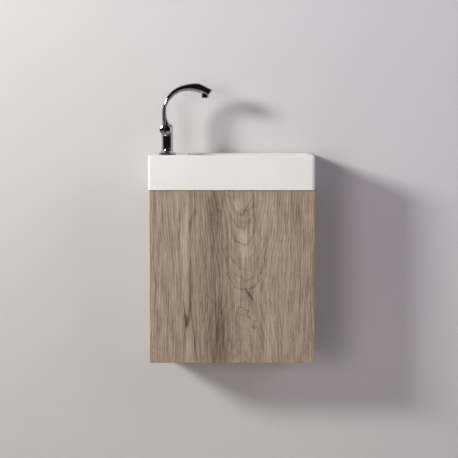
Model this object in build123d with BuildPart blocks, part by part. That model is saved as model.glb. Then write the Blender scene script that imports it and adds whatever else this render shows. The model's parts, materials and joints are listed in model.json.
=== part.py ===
# Wall hung vanity unit: a slim ceramic basin with a mixer tap, on a cabinet with one door.
# Millimetres. +Z is up, the wall is the plane y = 0 and the front faces -Y. The origin is on the
# wall, midway between the two wall screws in the hanging rail.
from build123d import *
import os

os.makedirs("parts", exist_ok=True)

# Overall sizes
unit_depth = 220  # wall to the front of the basin and of the door
cabinet_width = 396
cabinet_height = 415
basin_width = 400
basin_height = 84
basin_shift = -2  # middle of the basin from the middle of the cabinet
fixing_drop = 55  # wall screws below the top of the cabinet

# Boards of the carcass
board = 15
base_raise = 20  # underside of the base above the lower end of the sides, room for fingers
front_rail_height = 60
hanging_rail_height = 110
lower_rail_height = 60
edge_ease = 0.6  # softened edges of the boards
wall_hole_spacing = 240
wall_hole_radius = 3.25

# Dowels
dowel_radius = 4
dowel_length = 29
dowel_side_depth = 10  # depth of the bore in a side panel
dowel_play = 0.05  # radial
dowel_end_play = 0.5
dowel_inset = 25  # from the ends of a row of dowels to the edges of its board

# Door
door_thickness = 18
door_gap = 2.5  # between the door and the carcass
door_top_gap = 1.5  # between the door and the basin
bumper_radius = 4
bumper_inset = 7.5  # from the edges of the door
bumper_squash = 0.3  # air between a bumper and the side panel

# Concealed hinges. Places in plan are (in from the side panel, out from its front edge).
hinge_inset = 80  # hinge line from the top and the bottom of the door
arm_pivot = (24, -2.5)
cup_pivot = (-5.5, 4.7)
link_knee = (3.5, 5.4)
pivot_radius = 1.25
pivot_play = 0.05  # radial running clearance
pivot_fit = 0.02  # radial clearance of a pin in the piece that holds it
link_width = 9
link_thickness = 2
link_eye = 2.5
link_side_play = 0.3
arm_width = 15
arm_nose = 3.2
arm_length = 66
arm_height = 10
cup_radius = 17.4
cup_bore_play = 0.1
cup_wall = 0.9
cup_depth = 11.5
cup_edge = 5  # wood left between the cup's bore and the edge of the door
cup_pin_length = 20
cup_notch_play = 0.9  # free height each side of the link in the notch of the cup
flange_radius = 18.8
flange_thickness = 1
wing_size = (12, 64)
wing_corner = 5
wing_shift = 5.5
cup_screw_spacing = 52
plate_size = (18, 50)
plate_corner = 4
plate_thickness = 2.5
plate_setback = 37  # line of the plate's screws from the front edge of the side panel
plate_screw_spacing = 32
ridge_width = 12
ridge_height = 7.5
ridge_length = 40
arm_screw_setback = 52

# Small screws: radius and length of the thread, radius and height of the head
cup_screw = (1.6, 13, 3.2, 1.2)
plate_screw = (1.75, 12, 3.4, 1.8)
arm_screw = (2, 15, 3.4, 2)
screw_play = 0.05

# Basin
seal_thickness = 1
seal_width = 9
seal_inset = 3
basin_corner = 8
basin_back_corner = 3
rim_round = 4.5
foot_round = 1.2
ledge_width = 91  # left edge of the basin to the bowl
bowl_right_wall = 15
bowl_front_wall = 18
bowl_back_wall = 47
bowl_taper = 14  # how much each side of the bowl draws in towards its floor
bowl_corner = 26
bowl_floor_round = 18
bowl_edge_round = 4
bowl_depth = 61
ceramic = 12  # thickness of the ledge and of the bowl's floor
skirt_side = 16
skirt_front = 33
skirt_back = 18
dish_radius = 55
dish_drop = 3

# Waste, turned about a vertical axis in the middle of the bowl
waste_hole_radius = 22.5
waste_radius = 20.95
waste_wall = 3.9
waste_length = 76
flange_lip_radius = 31.5
flange_lip = 2.5
gasket = 1.5
washer_height = 4
backnut_height = 10
backnut_radius = 31
thread_play = 0.05
clicker_radius = 5.9
clicker_height = 20
stem_radius = 3
plug_radius = 29
plug_rise = 4.5
plug_skirt_radius = 8
plug_seat_air = 0.2
spider_depth = 26  # top of the spider below the flange
spider_height = 4
spider_rib = 3

# Bottle trap
trap_drop = 95  # axis of the outlet below the wall screws
pipe_radius = 16
pipe_wall = 1.8
nut_radius = 26
nut_height = 24
nut_lip = 6
trap_head_radius = 29
trap_wall = 3
trap_head_top = 28  # above the outlet's axis
trap_head_bottom = 26  # below the outlet's axis
trap_neck_radius = 21
trap_neck_height = 12
trap_thread_height = 12
trap_cup_height = 72
socket_radius = 20
socket_reach = 16
socket_depth = 12
slip_play = 0.2
bead_gap = 4  # between the outlet nut and the bead on the pipe
bead_width = 2
bead_height = 1

# Tap
tap_inset = 43  # middle of the tap from the left edge of the basin
tap_from_wall = 115
tap_hole_radius = 17.5
tap_seal = 1
tap_foot_radius = 21
tap_foot_edge = 2.5
tap_foot_height = 12
tap_body_radius = 14.2
tap_base_height = 43.5
trim_radius = 14.8
trim_height = 1.5
tap_head_height = 27
tap_head_round = 3.5
hub_height = 58.5  # axis of the hub above the foot
hub_turn = 9.5  # degrees that the hub faces away from the bowl, seen from above
boss_reach = 20  # front of the hub's housing from the axis of the tap
hub_radius = 13.3
hub_thickness = 9.5
hub_dome = 2.2  # how much the hub's face is crowned
hub_gap = 0.4
hub_round = 1.2
lever_radius = 2.4
lever_top = 122  # above the foot
lever_proud = 0.6  # lever in front of the middle of the hub's face
lever_slot_play = 0.35
lever_slot_depth = 8.2
lever_pivot_drop = 7  # below the axis of the hub
lever_pin_radius = 1.2
lever_pin_length = 12
cartridge_radius = 10.4
cartridge_length = 19
cartridge_ring = 3.5
hub_stem_radius = 4
hub_stem_length = 14
neck_shift = -7.3  # axis of the neck from the axis of the tap
neck_bury = 4  # start of the neck below the top of the head
neck_straight = 32
neck_half = 4.95
neck_deep = 13  # half depth of the neck, towards the wall
root_flare = 6
bend_radius = 61
crown_radius = 83
bend_turn = 72.5
crown_turn = 51.5
mouth_half = 13.8
mouth_wide = 14.5
mouth_swell = 1.7  # how late the spout widens towards its mouth
mouth_round = 4.5
neck_corner = 0.95  # corner radius of the spout's section, as a share of its smaller half
mouth_corner = 0.55
aerator_reach = 92.5
aerator_radius = 9.3
aerator_low = 136  # lower end of the aerator above the foot
aerator_seat = 11
aerator_bore = 7.5
stud_radius = 4
stud_shift = -8.5
stud_length = 66
stud_in_base = 13
inlet_radius = 4.5
inlet_depth = 12
inlet_spacing = 15
inlet_shift = 3
clamp_radius = 22
clamp_slot = 13
gasket_thickness = 3
clamp_thickness = 2.5
stud_nut_flats = 13
stud_nut_height = 12

# Places that follow from the sizes above
cabinet_top = fixing_drop
cabinet_bottom = cabinet_top - cabinet_height
side_outer = cabinet_width / 2
side_inner = side_outer - board
door_back = door_thickness - unit_depth
carcass_front = door_back + door_gap
base_bottom = cabinet_bottom + base_raise
base_top = base_bottom + board
basin_bottom = cabinet_top + seal_thickness
rim = basin_bottom + basin_height
basin_left = basin_shift - basin_width / 2
basin_right = basin_shift + basin_width / 2
door_top = basin_bottom - door_top_gap
hinge_heights = {"upper": door_top - hinge_inset, "lower": cabinet_bottom + hinge_inset}
cup_in = cup_edge + cup_radius + cup_bore_play - board
cup_x = side_inner - cup_in
bowl_left = basin_left + ledge_width
bowl_right = basin_right - bowl_right_wall
bowl_front = bowl_front_wall - unit_depth
bowl_middle = ((bowl_left + bowl_right) / 2, (bowl_front - bowl_back_wall) / 2)
bowl_floor = rim - bowl_depth
dish_floor = bowl_floor - dish_drop
tap_x = basin_left + tap_inset
tap_foot = rim + tap_seal


def save(piece, label):
    piece.part.label = label
    export_step(piece.part, f"parts/{label}.step")


def slab(x_range, y_range, z_range, ease=0):
    """A rectangular board between two limits on each axis."""
    middle = (sum(x_range) / 2, sum(y_range) / 2)
    with BuildPart() as piece:
        with BuildSketch(Plane.XY.offset(z_range[0])):
            with Locations(middle):
                Rectangle(x_range[1] - x_range[0], y_range[1] - y_range[0])
        extrude(amount=z_range[1] - z_range[0])
        if ease:
            chamfer(piece.edges(), ease)
    return piece


def turned(plane, outline):
    """A piece turned about the plane's upright axis, from an outline of (radius, height)."""
    with BuildPart() as piece:
        with BuildSketch(plane):
            with BuildLine():
                Polyline(*outline, close=True)
            make_face()
        revolve(axis=Axis(plane.origin, plane.y_dir))
    return piece


def ring(inner, outer, low, high):
    """Outline of a plain ring for turned()."""
    return [(inner, low), (outer, low), (outer, high), (inner, high)]


def pins(planes, radius, length):
    """Plain round pins, each from the origin of its plane along the plane's normal."""
    with BuildPart() as piece:
        for plane in planes:
            with BuildSketch(plane):
                Circle(radius)
            extrude(amount=length)
    return piece


def screws(planes, size):
    """Pan head screws, each with its head on its plane and its thread along minus the normal."""
    thread_radius, length, head_radius, head_height = size
    with BuildPart() as piece:
        for plane in planes:
            with BuildSketch(plane):
                Circle(thread_radius)
            extrude(amount=-length)
            with BuildSketch(plane):
                Circle(head_radius)
            extrude(amount=head_height)
            with BuildSketch(plane.offset(head_height)):
                Rectangle(head_radius * 1.2, head_radius * 0.25)
                Rectangle(head_radius * 0.25, head_radius * 1.2)
            extrude(amount=-head_height / 2, mode=Mode.SUBTRACT)
    return piece


# Carcass
rail_backs = (-board, 0)
across = (-side_inner, side_inner)
board_spans = {
    "base_panel": ((carcass_front, 0), (base_bottom, base_top)),
    "front_rail": ((carcass_front, carcass_front + board), (cabinet_top - front_rail_height, cabinet_top)),
    "hanging_rail": (rail_backs, (cabinet_top - hanging_rail_height, cabinet_top)),
    "lower_rail": (rail_backs, (base_top, base_top + lower_rail_height)),
}


def dowel_places(y_range, z_range):
    """Two dowels at each end of a board, spread along its longer side: (y, z) pairs."""
    y_middle = sum(y_range) / 2
    z_middle = sum(z_range) / 2
    if y_range[1] - y_range[0] > z_range[1] - z_range[0]:
        return [(y_range[0] + dowel_inset, z_middle), (y_range[1] - dowel_inset, z_middle)]
    inset = min(dowel_inset, (z_range[1] - z_range[0]) / 4)
    return [(y_middle, z_range[0] + inset), (y_middle, z_range[1] - inset)]


all_dowels = [place for spans in board_spans.values() for place in dowel_places(*spans)]
dowel_board_depth = dowel_length + 2 * dowel_end_play - dowel_side_depth


def cross_board(y_range, z_range):
    """A board between the two sides, with the bores for its dowels in both ends."""
    board_piece = slab(across, y_range, z_range)
    with BuildPart() as piece:
        add(board_piece.part)
        for y, z in dowel_places(y_range, z_range):
            for side in (-1, 1):
                with BuildSketch(Plane(origin=(side * side_inner, y, z), z_dir=(side, 0, 0))):
                    Circle(dowel_radius + dowel_play)
                extrude(amount=-dowel_board_depth, mode=Mode.SUBTRACT)
    return piece


for label in ("base_panel", "front_rail", "lower_rail"):
    save(cross_board(*board_spans[label]), label)

plain_hanging_rail = cross_board(*board_spans["hanging_rail"])
with BuildPart() as hanging_rail:
    add(plain_hanging_rail.part)
    with BuildSketch(Plane.XZ):
        with GridLocations(wall_hole_spacing, 0, 2, 1):
            Circle(wall_hole_radius)
    extrude(amount=board, mode=Mode.SUBTRACT)
save(hanging_rail, "hanging_rail")


def hinge_plane(height):
    """Plan of a hinge: x runs in from the side panel, y runs out from its front edge."""
    return Plane(origin=(side_inner, carcass_front, height), x_dir=(-1, 0, 0), z_dir=(0, 0, 1))


def plate_screw_planes(rise):
    """Where the plates' screws sit, at a rise above the face of the side panel."""
    y = carcass_front + plate_setback
    return [
        Plane(origin=(side_inner - rise, y, height + part * plate_screw_spacing / 2), z_dir=(-1, 0, 0))
        for height in hinge_heights.values()
        for part in (-1, 1)
    ]


def side_panel(side):
    """A side of the carcass; the right one also takes the screws of the hinge plates."""
    x_range = sorted((side * side_inner, side * side_outer))
    board_piece = slab(x_range, (carcass_front, 0), (cabinet_bottom, cabinet_top))
    with BuildPart() as piece:
        add(board_piece.part)
        for y, z in all_dowels:
            with BuildSketch(Plane(origin=(side * side_inner, y, z), z_dir=(side, 0, 0))):
                Circle(dowel_radius + dowel_play)
            extrude(amount=dowel_side_depth, mode=Mode.SUBTRACT)
        if side > 0:
            for plane in plate_screw_planes(0):
                with BuildSketch(plane):
                    Circle(plate_screw[0] + screw_play)
                extrude(amount=-plate_screw[1], mode=Mode.SUBTRACT)
    return piece


save(side_panel(-1), "side_panel_left")
save(side_panel(1), "side_panel_right")

dowel_planes = [
    Plane(origin=(side * (side_inner + dowel_side_depth - dowel_end_play), y, z), z_dir=(-side, 0, 0))
    for y, z in all_dowels
    for side in (-1, 1)
]
save(pins(dowel_planes, dowel_radius, dowel_length), "carcass_dowels")

# Silicone bed between the carcass and the basin
with BuildPart() as basin_seal:
    with BuildSketch(Plane.XY.offset(cabinet_top)):
        with Locations((0, carcass_front / 2)):
            Rectangle(cabinet_width - 2 * seal_inset, -carcass_front - 2 * seal_inset)
            Rectangle(
                cabinet_width - 2 * (seal_inset + seal_width),
                -carcass_front - 2 * (seal_inset + seal_width),
                mode=Mode.SUBTRACT,
            )
    extrude(amount=seal_thickness)
save(basin_seal, "basin_seal")

# Basin
with BuildPart() as bowl_space:
    bowl_size = (bowl_right - bowl_left, -bowl_back_wall - bowl_front)
    with BuildSketch(Plane.XY.offset(bowl_floor)):
        with Locations(bowl_middle):
            RectangleRounded(bowl_size[0] - 2 * bowl_taper, bowl_size[1] - 2 * bowl_taper, bowl_corner)
    with BuildSketch(Plane.XY.offset(rim)):
        with Locations(bowl_middle):
            RectangleRounded(*bowl_size, bowl_corner)
    loft()
    fillet(bowl_space.faces().sort_by(Axis.Z)[0].edges(), bowl_floor_round)

dish = turned(
    Plane(origin=(*bowl_middle, 0), x_dir=(1, 0, 0), z_dir=(0, -1, 0)),
    [
        (0, dish_floor),
        (flange_lip_radius + thread_play, dish_floor),
        (dish_radius, bowl_floor),
        (0, bowl_floor),
    ],
)

with BuildPart() as basin:
    with BuildSketch(Plane.XY.offset(basin_bottom)) as footprint:
        with Locations((basin_shift, -unit_depth / 2)):
            Rectangle(basin_width, unit_depth)
        fillet(footprint.vertices().group_by(Axis.Y)[0], basin_corner)
        fillet(footprint.vertices().group_by(Axis.Y)[-1], basin_back_corner)
    extrude(amount=basin_height)
    fillet(basin.faces().sort_by(Axis.Z)[-1].edges(), rim_round)
    fillet(basin.faces().sort_by(Axis.Z)[0].edges(), foot_round)
    add(bowl_space.part, mode=Mode.SUBTRACT)
    fillet(basin.faces().sort_by(Axis.Z)[-1].inner_wires().edges(), bowl_edge_round)
    add(dish.part, mode=Mode.SUBTRACT)
    # Shallow hollow under the bowl and a deep one under the tap ledge
    hollow_y = (skirt_front - unit_depth, -skirt_back)
    with BuildSketch(Plane.XY.offset(basin_bottom)):
        with Locations((basin_shift, sum(hollow_y) / 2)):
            Rectangle(basin_width - 2 * skirt_side, hollow_y[1] - hollow_y[0])
    extrude(amount=dish_floor - ceramic - basin_bottom, mode=Mode.SUBTRACT)
    ledge_x = (basin_left + skirt_side, bowl_left - ceramic)
    with BuildSketch(Plane.XY.offset(basin_bottom)):
        with Locations((sum(ledge_x) / 2, sum(hollow_y) / 2)):
            RectangleRounded(ledge_x[1] - ledge_x[0], hollow_y[1] - hollow_y[0], ceramic)
    extrude(amount=basin_height - ceramic, mode=Mode.SUBTRACT)
    with BuildSketch(Plane.XY.offset(basin_bottom)):
        with Locations((tap_x, -tap_from_wall)):
            Circle(tap_hole_radius)
        with Locations(bowl_middle):
            Circle(waste_hole_radius)
    extrude(amount=basin_height, mode=Mode.SUBTRACT)
save(basin, "basin")

# Door, with a bore for each hinge cup and holes for its screws
cup_screw_planes = [
    Plane(
        origin=(cup_x - wing_shift, door_back + flange_thickness, height + part * cup_screw_spacing / 2),
        z_dir=(0, 1, 0),
    )
    for height in hinge_heights.values()
    for part in (-1, 1)
]
door_board = slab((-side_outer, side_outer), (-unit_depth, door_back), (cabinet_bottom, door_top), edge_ease)
with BuildPart() as door:
    add(door_board.part)
    for height in hinge_heights.values():
        with BuildSketch(Plane(origin=(cup_x, door_back, height), z_dir=(0, -1, 0))):
            Circle(cup_radius + cup_bore_play)
        extrude(amount=cup_depth + cup_bore_play, mode=Mode.SUBTRACT)
    for plane in cup_screw_planes:
        with BuildSketch(plane):
            Circle(cup_screw[0] + screw_play)
        extrude(amount=-cup_screw[1] - screw_play, mode=Mode.SUBTRACT)
save(door, "door")
save(screws(cup_screw_planes, cup_screw), "cup_screws")

bumper_x = bumper_inset - side_outer
bumper_planes = [
    Plane(origin=(bumper_x, door_back, z), z_dir=(0, 1, 0))
    for z in (door_top - bumper_inset, cabinet_bottom + bumper_inset)
]
save(pins(bumper_planes, bumper_radius, door_gap - bumper_squash), "door_bumpers")


def hinge_cup(height):
    """Pressed cup in the door: flange with two wings, bowl, and a notch for the link."""
    face = Plane(origin=(cup_x, door_back, height), x_dir=(-1, 0, 0), z_dir=(0, -1, 0))
    pin = hinge_plane(height - cup_pin_length)
    with BuildPart() as cup:
        with BuildSketch(face):
            Circle(flange_radius)
            with Locations((wing_shift, 0)):
                RectangleRounded(*wing_size, wing_corner)
                with GridLocations(0, cup_screw_spacing, 1, 2):
                    Circle(cup_screw[0] + screw_play, mode=Mode.SUBTRACT)
            with Locations((-cup_radius - flange_radius + 1, 0)):
                Rectangle(2 * flange_radius, 2 * flange_radius, mode=Mode.SUBTRACT)
        extrude(amount=-flange_thickness)
        with BuildSketch(face):
            Circle(cup_radius)
        extrude(amount=cup_depth)
        with BuildSketch(face.offset(-flange_thickness)):
            Circle(cup_radius - cup_wall)
        extrude(amount=cup_depth + flange_thickness - cup_wall, mode=Mode.SUBTRACT)
        with BuildSketch(face.offset(-flange_thickness)):
            with Locations((-cup_radius, 0)):
                Rectangle(cup_radius, link_width + 2 * cup_notch_play)
        extrude(amount=cup_depth / 2 + flange_thickness, mode=Mode.SUBTRACT)
        with BuildSketch(pin):
            with Locations(cup_pivot):
                Circle(pivot_radius + pivot_fit)
        extrude(amount=2 * cup_pin_length, mode=Mode.SUBTRACT)
    return cup


def hinge_link(height):
    """Cranked steel link from the arm's pin to the cup's pin."""
    with BuildPart() as link:
        with BuildSketch(hinge_plane(height - link_width / 2)):
            with BuildLine():
                Polyline(arm_pivot, link_knee, cup_pivot)
            trace(line_width=link_thickness)
            with Locations(link_knee):
                Circle(link_thickness / 2)
            with Locations(arm_pivot, cup_pivot):
                Circle(link_eye)
                Circle(pivot_radius + pivot_play, mode=Mode.SUBTRACT)
        extrude(amount=link_width)
    return link


def hinge_arm(height):
    """Arm that lies on the ridge of its plate and carries the link between two cheeks."""
    seat = plate_thickness + ridge_height
    back = seat + arm_height
    nose_x, nose_y = arm_pivot
    outline = [
        (seat, -arm_length),
        (back, -arm_length),
        (back, nose_y - arm_height * 2),
        (nose_x + arm_nose, nose_y - arm_height),
        (nose_x + arm_nose, nose_y),
        (nose_x - arm_nose, nose_y),
        (nose_x - arm_nose, nose_y - arm_nose),
        (seat, nose_y - arm_height * 1.5),
    ]
    with BuildPart() as arm:
        with BuildSketch(hinge_plane(height - arm_width / 2)):
            with BuildLine():
                Polyline(*outline, close=True)
            make_face()
            with Locations(arm_pivot):
                Circle(arm_nose)
                Circle(pivot_radius + pivot_fit, mode=Mode.SUBTRACT)
        extrude(amount=arm_width)
        slot = link_width + 2 * link_side_play
        with BuildSketch(hinge_plane(height - slot / 2)):
            with Locations(arm_pivot):
                Rectangle(2 * arm_nose + 1, 2 * arm_nose + 1)
        extrude(amount=slot, mode=Mode.SUBTRACT)
        with BuildSketch(Plane(origin=(side_inner, carcass_front + arm_screw_setback, height), z_dir=(-1, 0, 0))):
            Circle(arm_screw[0] + screw_play)
        extrude(amount=2 * back, mode=Mode.SUBTRACT)
    return arm


def hinge_plate(height):
    """Mounting plate: two winged ends for the screws and a ridge that the arm lies on."""
    face = Plane(origin=(side_inner, carcass_front + plate_setback, height), x_dir=(0, 1, 0), z_dir=(-1, 0, 0))
    ridge_middle = (arm_length + arm_screw_setback) / 2 - plate_setback - ridge_length / 4
    with BuildPart() as plate:
        with BuildSketch(face):
            RectangleRounded(*plate_size, plate_corner)
            with Locations((ridge_middle, 0)):
                Rectangle(ridge_length, ridge_width)
        extrude(amount=plate_thickness)
        with BuildSketch(face.offset(plate_thickness)):
            with Locations((ridge_middle, 0)):
                Rectangle(ridge_length, ridge_width)
        extrude(amount=ridge_height)
        with BuildSketch(face):
            with GridLocations(0, plate_screw_spacing, 1, 2):
                Circle(plate_screw[0] + screw_play)
            with Locations((arm_screw_setback - plate_setback, 0)):
                Circle(arm_screw[0] + screw_play)
        extrude(amount=plate_thickness + ridge_height, mode=Mode.SUBTRACT)
    return plate


for place, height in hinge_heights.items():
    save(hinge_cup(height), f"hinge_cup_{place}")
    save(hinge_link(height), f"hinge_link_{place}")
    save(hinge_arm(height), f"hinge_arm_{place}")
    save(hinge_plate(height), f"hinge_plate_{place}")


def pivot_planes(pivot, length):
    """Planes at the lower ends of the upright pins through one pivot of both hinges."""
    x = side_inner - pivot[0]
    y = carcass_front - pivot[1]
    return [Plane.XY.move(Location((x, y, height - length / 2))) for height in hinge_heights.values()]


save(pins(pivot_planes(arm_pivot, arm_width), pivot_radius, arm_width), "hinge_arm_pins")
save(pins(pivot_planes(cup_pivot, cup_pin_length), pivot_radius, cup_pin_length), "hinge_cup_pins")
save(screws(plate_screw_planes(plate_thickness), plate_screw), "plate_screws")
arm_screw_planes = [
    Plane(
        origin=(
            side_inner - plate_thickness - ridge_height - arm_height,
            carcass_front + arm_screw_setback,
            height,
        ),
        z_dir=(-1, 0, 0),
    )
    for height in hinge_heights.values()
]
save(screws(arm_screw_planes, arm_screw), "arm_screws")

# Waste
waste_axis = Plane(origin=(*bowl_middle, 0), x_dir=(1, 0, 0), z_dir=(0, -1, 0))
flange_seat = dish_floor + gasket
flange_top = flange_seat + flange_lip
waste_end = flange_seat - waste_length
waste_bore = waste_radius - waste_wall
spider_top = flange_seat - spider_depth
thread_bore = waste_radius + thread_play

turned_waste = turned(
    waste_axis,
    [
        (waste_bore, waste_end),
        (waste_radius, waste_end),
        (waste_radius, flange_seat),
        (flange_lip_radius, flange_seat),
        (flange_lip_radius - flange_lip / 2, flange_top),
        (plug_radius - flange_lip, flange_top),
        (waste_bore, flange_seat),
    ],
)
with BuildPart() as waste_body:
    add(turned_waste.part)
    with BuildSketch(Plane.XY.offset(spider_top - spider_height)):
        with Locations(bowl_middle):
            Circle(clicker_radius)
            with PolarLocations(0, 3):
                with Locations((waste_bore / 2 + spider_rib / 2, 0)):
                    Rectangle(waste_bore + spider_rib / 2, spider_rib)
    extrude(amount=spider_height)
save(waste_body, "waste_body")

ceramic_under = dish_floor - ceramic
washer_low = ceramic_under - washer_height
gasket_ring = ring(waste_hole_radius, flange_lip_radius - 1, dish_floor, flange_seat)
save(turned(waste_axis, gasket_ring), "waste_gasket")
washer_ring = ring(thread_bore, backnut_radius - 2, washer_low, ceramic_under)
save(turned(waste_axis, washer_ring), "waste_washer")

with BuildPart() as waste_backnut:
    with BuildSketch(Plane.XY.offset(washer_low - backnut_height)):
        with Locations(bowl_middle):
            RegularPolygon(backnut_radius, 6)
            Circle(thread_bore, mode=Mode.SUBTRACT)
    extrude(amount=backnut_height)
save(waste_backnut, "waste_backnut")

clicker_top = spider_top + clicker_height
clicker_ring = ring(stem_radius + pivot_play, clicker_radius, spider_top, clicker_top)
save(turned(waste_axis, clicker_ring), "waste_clicker")

plug_low = flange_top + plug_seat_air
with BuildPart() as waste_plug:
    with BuildSketch(waste_axis):
        with BuildLine():
            crown = ThreePointArc(
                (0, plug_low + plug_rise),
                (plug_radius / 2, plug_low + plug_rise * 0.86),
                (plug_radius, plug_low + plug_rise * 0.4),
            )
            Polyline(
                crown @ 1,
                (plug_radius, plug_low),
                (plug_skirt_radius, plug_low),
                (plug_skirt_radius, clicker_top + 2),
                (stem_radius, clicker_top + 2),
                (stem_radius, spider_top + 1),
                (0, spider_top + 1),
                crown @ 0,
            )
        make_face()
    revolve(axis=Axis(waste_axis.origin, waste_axis.y_dir))
save(waste_plug, "waste_plug")

# Bottle trap, screwed to the end of the waste
nut_top = waste_end + nut_height / 2
nut_low = nut_top - nut_height
seat_low = nut_low + nut_lip
seal_height = 2
tube_flange_top = waste_end - seal_height
tube_bore = pipe_radius - pipe_wall
outlet_z = -trap_drop
head_top = outlet_z + trap_head_top
head_bottom = outlet_z - trap_head_bottom
neck_top = head_top + trap_neck_height
head_bore = trap_head_radius - trap_wall


def ribbed_nut(plane, outline, low, height):
    """A turned union nut with finger ribs round it."""
    body = turned(plane, outline)
    foot = Plane(origin=plane.origin + plane.y_dir * low, x_dir=plane.x_dir, z_dir=plane.y_dir)
    with BuildPart() as nut:
        add(body.part)
        with BuildSketch(foot):
            with PolarLocations(nut_radius, 12):
                Circle(1.5)
        extrude(amount=height)
    return nut


inlet_nut_outline = [
    (pipe_radius + slip_play, nut_low),
    (nut_radius, nut_low),
    (nut_radius, nut_top),
    (thread_bore, nut_top),
    (thread_bore, seat_low),
    (pipe_radius + slip_play, seat_low),
]
save(ribbed_nut(waste_axis, inlet_nut_outline, nut_low, nut_height), "trap_inlet_nut")

dip_end = head_bottom - trap_cup_height / 2
tube_outline = [
    (tube_bore, dip_end),
    (pipe_radius, dip_end),
    (pipe_radius, seat_low),
    (waste_radius, seat_low),
    (waste_radius, tube_flange_top),
    (tube_bore, tube_flange_top),
]
save(turned(waste_axis, tube_outline), "trap_inlet_tube")

neck_nut_top = neck_top + nut_lip + seal_height
neck_nut_low = head_top + 1
neck_nut_outline = [
    (trap_neck_radius + thread_play, neck_nut_low),
    (nut_radius, neck_nut_low),
    (nut_radius, neck_nut_top),
    (pipe_radius + slip_play, neck_nut_top),
    (pipe_radius + slip_play, neck_nut_top - nut_lip),
    (trap_neck_radius + thread_play, neck_nut_top - nut_lip),
]
neck_nut = ribbed_nut(waste_axis, neck_nut_outline, neck_nut_low, neck_nut_top - neck_nut_low)
save(neck_nut, "trap_neck_nut")

outlet_axis = Plane(origin=(*bowl_middle, outlet_z), x_dir=(1, 0, 0), z_dir=(0, 0, 1))
socket_end = trap_head_radius + socket_reach
trap_outer = turned(
    waste_axis,
    [
        (0, head_bottom - trap_thread_height),
        (head_bore + trap_wall / 2, head_bottom - trap_thread_height),
        (head_bore + trap_wall / 2, head_bottom),
        (trap_head_radius, head_bottom),
        (trap_head_radius, head_top),
        (trap_neck_radius, head_top),
        (trap_neck_radius, neck_top),
        (0, neck_top),
    ],
)
socket_outer = turned(outlet_axis, ring(0, socket_radius, 0, socket_end))
trap_inner = turned(
    waste_axis,
    [
        (0, head_bottom - trap_thread_height),
        (head_bore - trap_wall / 2, head_bottom - trap_thread_height),
        (head_bore - trap_wall / 2, head_bottom),
        (head_bore, head_bottom),
        (head_bore, head_top - trap_wall),
        (pipe_radius + slip_play, head_top - trap_wall),
        (pipe_radius + slip_play, neck_top),
        (0, neck_top),
    ],
)
socket_bore = [
    (0, 0),
    (tube_bore, 0),
    (tube_bore, socket_end - socket_depth),
    (pipe_radius + slip_play, socket_end - socket_depth),
    (pipe_radius + slip_play, socket_end),
    (0, socket_end),
]
socket_inner = turned(outlet_axis, socket_bore)
with BuildPart() as trap_body:
    add(trap_outer.part)
    add(socket_outer.part)
    add(trap_inner.part, mode=Mode.SUBTRACT)
    add(socket_inner.part, mode=Mode.SUBTRACT)
save(trap_body, "trap_body")

cup_top = head_bottom - 1
cup_low = cup_top - trap_cup_height
cup_thread = head_bore + trap_wall / 2 + thread_play
cup_outline = [
    (0, cup_low),
    (trap_head_radius - 8, cup_low),
    (trap_head_radius, cup_low + 8),
    (trap_head_radius, cup_top),
    (cup_thread, cup_top),
    (cup_thread, cup_top - trap_thread_height),
    (head_bore, cup_top - trap_thread_height),
    (head_bore, cup_low + 8 + trap_wall / 2),
    (head_bore - 6, cup_low + trap_wall),
    (0, cup_low + trap_wall),
]
save(turned(waste_axis, cup_outline), "trap_cup")

outlet_nut_low = trap_head_radius + 1
outlet_nut_top = socket_end + seal_height + nut_lip
outlet_nut_outline = [
    (socket_radius + thread_play, outlet_nut_low),
    (nut_radius, outlet_nut_low),
    (nut_radius, outlet_nut_top),
    (pipe_radius + slip_play, outlet_nut_top),
    (pipe_radius + slip_play, socket_end + seal_height),
    (socket_radius + thread_play, socket_end + seal_height),
]
outlet_nut = ribbed_nut(outlet_axis, outlet_nut_outline, outlet_nut_low, outlet_nut_top - outlet_nut_low)
save(outlet_nut, "trap_outlet_nut")

# The bead on the pipe stops the socket in the wall short of the nut
pipe_start = socket_end - socket_depth + slip_play
bead_low = outlet_nut_top + bead_gap
waste_pipe_outline = [
    (tube_bore, pipe_start),
    (pipe_radius, pipe_start),
    (pipe_radius, bead_low),
    (pipe_radius + bead_height, bead_low),
    (pipe_radius + bead_height, bead_low + bead_width),
    (pipe_radius, bead_low + bead_width),
    (pipe_radius, -bowl_middle[1]),
    (tube_bore, -bowl_middle[1]),
]
save(turned(outlet_axis, waste_pipe_outline), "waste_pipe")

inlet_seal = turned(waste_axis, ring(tube_bore, waste_radius, tube_flange_top, waste_end))
neck_seal_ring = ring(pipe_radius, trap_neck_radius, neck_top, neck_top + seal_height)
neck_seal = turned(waste_axis, neck_seal_ring)
outlet_seal = turned(outlet_axis, ring(pipe_radius, socket_radius, socket_end, socket_end + seal_height))
cup_seal = turned(waste_axis, ring(cup_thread, trap_head_radius, cup_top, head_bottom))
with BuildPart() as trap_seals:
    add(inlet_seal.part)
    add(neck_seal.part)
    add(outlet_seal.part)
    add(cup_seal.part)
save(trap_seals, "trap_seals")

# Tap. One plane runs along the spout and up from the underside of the foot. The other is turned
# to face the way of the hub.
tap_front = Plane(origin=(tap_x, -tap_from_wall, tap_foot), x_dir=(1, 0, 0), z_dir=(0, -1, 0))
hub_across = Vector(1, 0, 0).rotate(Axis.Z, -hub_turn)
hub_way = Vector(0, -1, 0).rotate(Axis.Z, -hub_turn)
hub_front = Plane(origin=tap_front.origin, x_dir=hub_across, z_dir=hub_way)
tap_axis = Axis(tap_front.origin, (0, 0, 1))
trim_low = tap_base_height
head_low = trim_low + trim_height
head_high = head_low + tap_head_height


def at_hub(across, height, reach):
    """A place given across the hub, above the foot, and out along the hub's axis."""
    return hub_front.from_local_coords(Vector(across, height, reach))


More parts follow.
